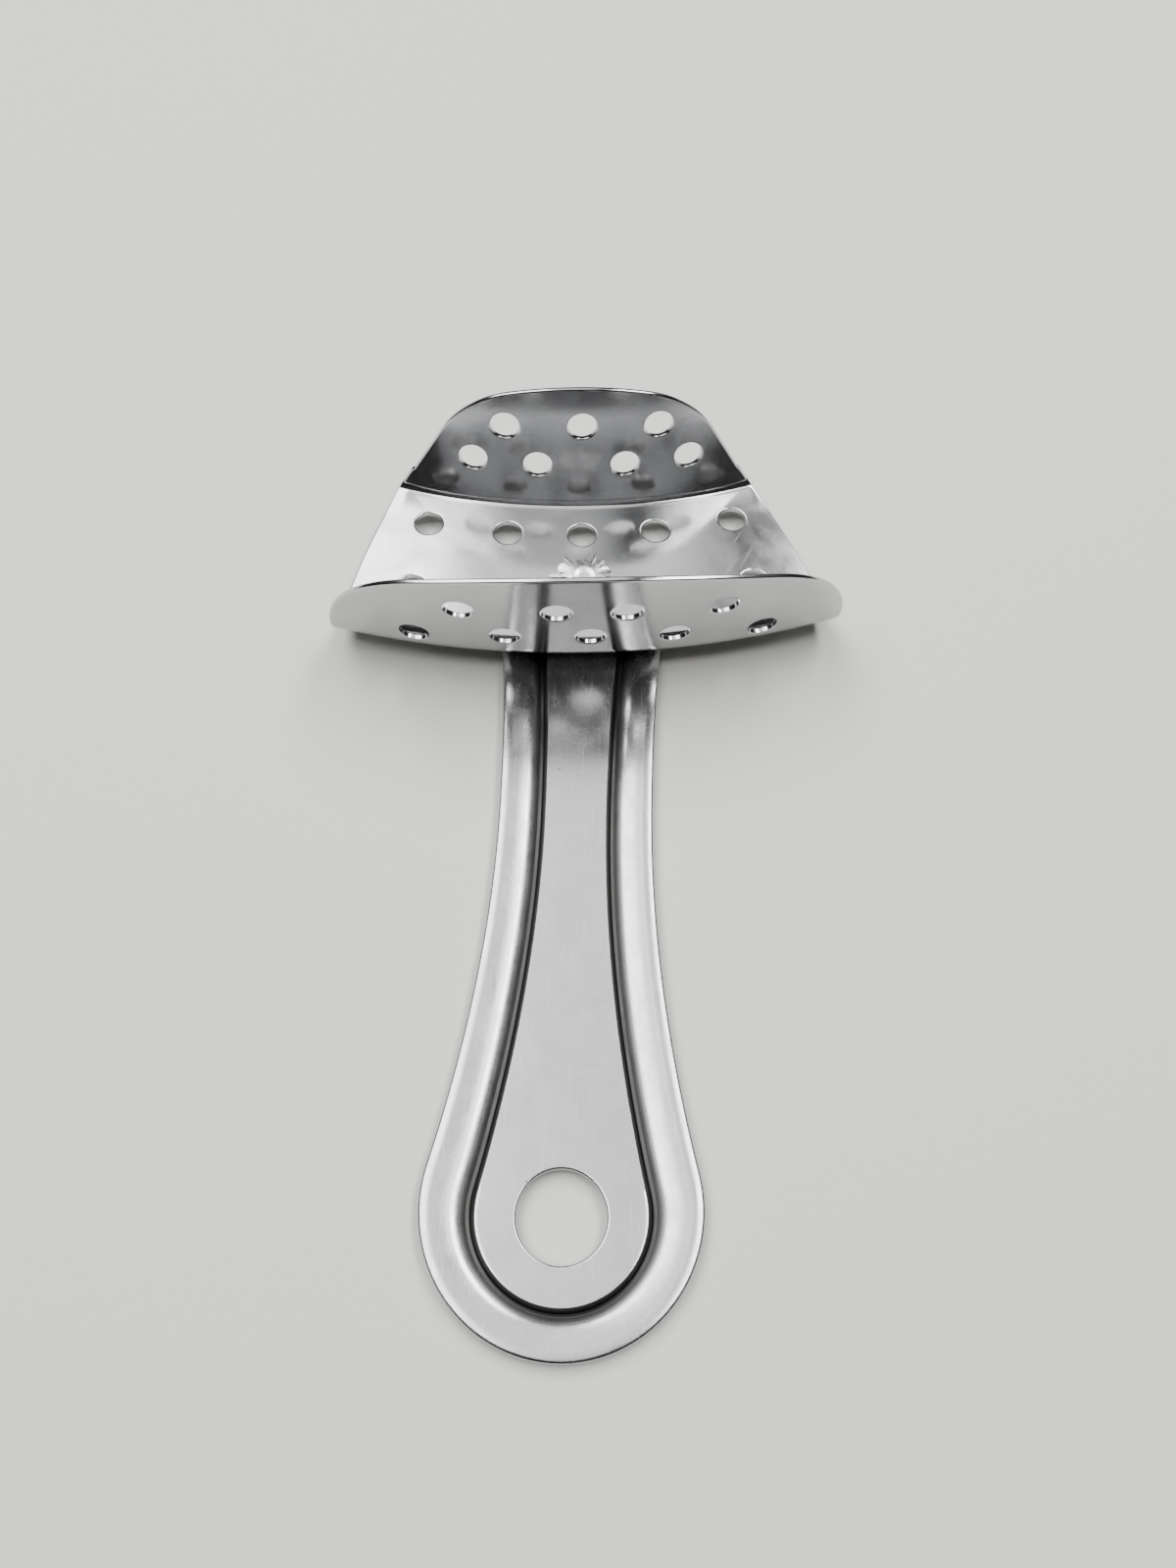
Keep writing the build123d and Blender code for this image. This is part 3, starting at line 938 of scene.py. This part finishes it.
def trayFill(outline, holes):
    step = tray["spacing"]
    wallLong = tray["nearHeight"] / math.cos(nearLean) + 1
    nearRun, farRun = tray["nearBendRun"], tray["farBendRun"]
    floorRows = round((floorWidth - nearRun - farRun) / step) - 1
    rows = [
        *np.arange(-nearRun, nearRun + 0.01, tray["nearBendRow"]),
        *(floorWidth + np.arange(-farRun, farRun + 0.01, tray["farBendRow"])),
        *-np.arange(nearRun + step, wallLong, step),
        *np.linspace(nearRun + step * 0.8, floorWidth - farRun - step * 0.6, floorRows),
        *(floorWidth + np.arange(farRun + step, wallLong, step)),
    ]
    halfCount = math.ceil(tray["nearHalfWidth"] / step) + 1
    columns = np.arange(-halfCount, halfCount + 1) * step
    points = np.array([(column, row) for row in rows for column in columns])
    points = points[insideLoop(points, outline)]
    points = points[clearOfLoop(points, outline) > 0.3]
    rings = (0.12, 0.35, 0.75)
    for centre, radius in holes:
        shrink = troughSection(np.array([centre[0]]), np.array([centre[1]]))[0][0] / tray["archRadius"]
        away = np.hypot((points[:, 0] - centre[0]) * shrink, points[:, 1] - centre[1])
        points = points[away > radius + rings[-1] + 0.3]
        points = np.vstack([points] + [patternCircle(centre, radius + ring) for ring in rings])
    points = points[insideLoop(points, outline)]
    return points[clearOfLoop(points, outline) > 0.12]


def makeTray():
    outline = trayOutline()
    width = tray["holeRounding"][0]
    holes = [(centre, tray["holeRadius"] + width) for centre in trayHoles()]
    rivetCentre = (0.0, nearFoot - archCentreY)
    holes.append((rivetCentre, tray["rivetHoleRadius"] + width))
    loops = [(outline, tray["edgeRounding"])]
    loops += [(patternCircle(centre, radius), tray["holeRounding"]) for centre, radius in holes]
    fill = trayFill(outline, holes)
    shells = pressedSheet(loops, fill, fill, trayPlace(1), trayPlace(-1))
    makePiece("trough", shells, polishedSteel(polishedLook), "perforated_tray")


# Rivet: round head below, hollow upper end split and curled down on the tray floor

rivet = {
    "radius": 1.45, "headRadius": 2.9, "headHeight": 0.6,
    "columns": 144,
    "standOff": 0.01,             # between the petals and the tray floor
    "outlineSpacing": 0.07, "ringSpacing": 0.1,
    "edgeRounding": (0.05, 0.07, 0.05),
    # the upper end's section: distance from the axis, height above the tray floor
    # and the radius of each bend
    "section": (
        (-0.1, 0.33, 0), (0.7, 0.33, 0.6), (1.25, 0.47, 0.8), (2.2, 0.36, 2.0), (4.2, 0.12, 0),
    ),
    "slitStart": 1.75, "slitWidth": 0.07,
    "tipThickness": 0.22, "waveHeight": 0.03,
    "firstPetal": 5.0,
    # each petal, counter-clockwise: degrees of arc, length from the axis and how
    # much wider it is at its end
    "petals": (
        (33, 3.1, 1.5), (27, 3.4, 0.6), (11, 3.5, 0.8), (21, 2.45, 1.1), (26, 2.4, 1.1), (15, 3.6, 0.6),
        (33, 3.25, 1.5), (15, 3.9, 1.3), (23, 3.1, 1.1), (34, 2.9, 1.2), (32, 3.0, 1.1), (32, 2.8, 1.3),
        (42, 3.0, 1.1), (16, 3.7, 1.2),
    ),
    "seed": 11,
}

rivetLook = {
    "steel": "#E8E8E8", "dulled": "#D2D2D2",
    "dentSize": 0.6, "dentDepth": 0.012, "patternRange": (0.3, 0.7), "clearest": 0.2, "softest": 0.34,
}


def petalOutline():
    # the torn rim, petal by petal, as distances from the axis and angles round it
    line, angle = [], math.radians(rivet["firstPetal"])
    start, slit = rivet["slitStart"], rivet["slitWidth"]
    for arc, tip, flare in rivet["petals"]:
        width = math.radians(arc)
        middle = angle + width / 2
        line.append((start - slit / 2, angle))
        share = np.concatenate([np.linspace(0, 0.8, 6), np.linspace(0.85, 1, 8)])
        reach = start + (tip - start) * share
        half = (start * width / 2 - slit / 2) * (1 + (flare - 1) * share) * np.sqrt(1 - share**6)
        for radius, away in zip(reach, half):
            line.append((radius, middle - away / radius))
        for radius, away in list(zip(reach, half))[-2::-1]:
            line.append((radius, middle + away / radius))
        angle += width
    line = np.array(line)
    flat = line[:, :1] * np.column_stack([np.cos(line[:, 1]), np.sin(line[:, 1])])
    return evenlySpaced(flat, rivet["outlineSpacing"])


def makeRivet():
    floorTop = stripThickness + tray["thickness"]
    underside = floorTop + rivet["standOff"]
    draw = np.random.default_rng(rivet["seed"])
    waves = [(count, draw.uniform(0, 2 * math.pi), draw.uniform(0.5, 1)) for count in (2, 3, 5, 7, 8)]
    heights, _ = filletedLine(rivet["section"])

    def topOnly(flat):
        radius = np.hypot(flat[:, 0], flat[:, 1])
        angle = np.arctan2(flat[:, 1], flat[:, 0])
        height = np.interp(radius, heights[:, 0], heights[:, 1])
        lift = sum(size * np.cos(count * angle + phase) for count, phase, size in waves)
        spread = np.clip((radius - 0.9) / 2, 0, 1) ** 2
        height = height + rivet["waveHeight"] * lift * spread
        return np.column_stack([flat, floorTop + height])

    def top(flat):
        return topOnly(flat) + (0, rivetY, 0), numericNormals(topOnly, flat, 0.01)

    def bottomOnly(flat):
        places = topOnly(flat)
        radius = np.hypot(flat[:, 0], flat[:, 1])
        spread = np.clip((radius - rivet["radius"]) / 0.6, 0, 1)
        places[:, 2] = underside + spread * (places[:, 2] - underside - rivet["tipThickness"])
        places[:, 2] = np.maximum(places[:, 2], underside)
        return places

    def bottom(flat):
        return bottomOnly(flat) + (0, rivetY, 0), -numericNormals(bottomOnly, flat, 0.01)

    outline = petalOutline()
    columns = rivet["columns"]
    step = rivet["ringSpacing"]
    radii = np.arange(step, 4.0, step)
    points = np.vstack([circle((0, 0), radius, max(6, round(radius * 48))) for radius in radii])
    points = points[insideLoop(points, outline)]
    points = points[clearOfLoop(points, outline) > 0.05]
    shankRing = circle((0, 0), rivet["radius"], columns, clockwise=False)
    away = np.hypot(points[:, 0], points[:, 1])
    below = points[away > rivet["radius"] + 0.06]
    shells = pressedSheet([(outline, rivet["edgeRounding"])], points, below, top, bottom, [shankRing])
    # shank and head as one lathed section: distance from the axis, height, bend radius
    headRadius, headHeight = rivet["headRadius"], rivet["headHeight"]
    section, sectionNormals = filletedLine((
        (rivet["radius"], underside, 0), (rivet["radius"], 0.0, 0.02), (headRadius, 0.0, 0.05),
        (headRadius - 0.04, -headHeight / 2, 0.25), (headRadius - 0.7, -headHeight, 0.8),
        (0.0, -headHeight, 0),
    ))
    lathed, lathedNormals = [], []
    ways = unit(shankRing)
    for (radius, height), (out, up) in zip(section, sectionNormals):
        lathed.append(np.column_stack([ways * radius, np.full(columns, height)]) + (0, rivetY, 0))
        lathedNormals.append(np.column_stack([ways * out, np.full(columns, up)]))
    faces = ringFaces(len(lathed), columns)
    shells.append((np.vstack(lathed), np.vstack(lathedNormals), faces))
    makePiece("split_rivet", shells, hammeredSteel(rivetLook), "rivet")


makeHandle()
makeTray()
makeRivet()
print("pieces made")


# Floor, lights and camera

studio = {
    "floorColour": "#D9D8D4", "floorSize": 3.0,
    "worldColour": "#4A4B4D", "worldStrength": 0.25,
    # soft boxes hung level: middle and size in metres, brightness in watts per square metre
    "lightHeight": 0.6,
    "lights": (
        ((0.01, 0.22), (0.17, 0.9), 5.1),
        ((-0.3, 0.22), (0.4, 0.8), 23.0),
        ((0.27, 0.25), (0.18, 0.7), 42.0),
    ),
    "cameraPlace": (-0.000411, -0.014446, 0.1078),
    "cameraPitch": 62.073, "cameraHeading": 1.564, "cameraRoll": -3.528,
    "lens": 27.0, "sensorWidth": 36.0,
}


def mattBoard():
    # Matt painted board: pale and even, with a trace of roller texture.
    material, tree, shader = newMaterial("mattPaintedBoard")
    coords = addNode(tree, "ShaderNodeTexCoord", {}).outputs["Object"]
    noise = addNode(
        tree, "ShaderNodeTexNoise", {"Vector": coords, "Scale": perMillimetre(1.2), "Detail": 3.0}
    ).outputs["Fac"]
    bump = addNode(tree, "ShaderNodeBump", {"Height": noise, "Strength": 0.3, "Distance": 0.03 * millimetre})
    shader.inputs["Base Color"].default_value = toLinear(studio["floorColour"])
    shader.inputs["Roughness"].default_value = 0.75
    tree.links.new(bump.outputs["Normal"], shader.inputs["Normal"])
    return material


def makeStudio():
    half = studio["floorSize"] / 2
    level = cadBox[0].z
    mesh = bpy.data.meshes.new("floor")
    corners = [(-half, -half, level), (half, -half, level), (half, half, level), (-half, half, level)]
    mesh.from_pydata(corners, [], [(0, 1, 2, 3)])
    mesh.materials.append(mattBoard())
    floor = bpy.data.objects.new("floor", mesh)
    bpy.context.scene.collection.objects.link(floor)
    for number, (spot, size, brightness) in enumerate(studio["lights"]):
        lamp = bpy.data.lights.new(f"softLight{number}", "AREA")
        lamp.shape = "RECTANGLE"
        lamp.size, lamp.size_y = size
        lamp.energy = brightness * size[0] * size[1]
        light = bpy.data.objects.new(lamp.name, lamp)
        light.location = (*spot, studio["lightHeight"])
        bpy.context.scene.collection.objects.link(light)
    world = bpy.data.worlds.new("studio")
    world.use_nodes = True
    background = world.node_tree.nodes["Background"]
    background.inputs["Color"].default_value = toLinear(studio["worldColour"])
    background.inputs["Strength"].default_value = studio["worldStrength"]
    bpy.context.scene.world = world


def makeCamera():
    # pitch below level, heading from the handle's line and roll, in degrees
    pitch, heading, roll = (
        math.radians(studio[angle]) for angle in ("cameraPitch", "cameraHeading", "cameraRoll")
    )
    forward = Vector((
        math.sin(heading) * math.cos(pitch), math.cos(heading) * math.cos(pitch), -math.sin(pitch)
    ))
    right = Vector((math.cos(heading), -math.sin(heading), 0))
    down = forward.cross(right)
    rolledRight = math.cos(roll) * right + math.sin(roll) * down
    rolledDown = -math.sin(roll) * right + math.cos(roll) * down
    data = bpy.data.cameras.new("camera")
    data.lens, data.sensor_width = studio["lens"], studio["sensorWidth"]
    data.clip_start, data.clip_end = 0.001, 10.0
    camera = bpy.data.objects.new("camera", data)
    camera.matrix_world = Matrix.Translation(studio["cameraPlace"]) @ Matrix((
        rolledRight, -rolledDown, -forward
    )).transposed().to_4x4()
    bpy.context.scene.collection.objects.link(camera)
    bpy.context.scene.camera = camera


makeStudio()
makeCamera()
print("studio made")
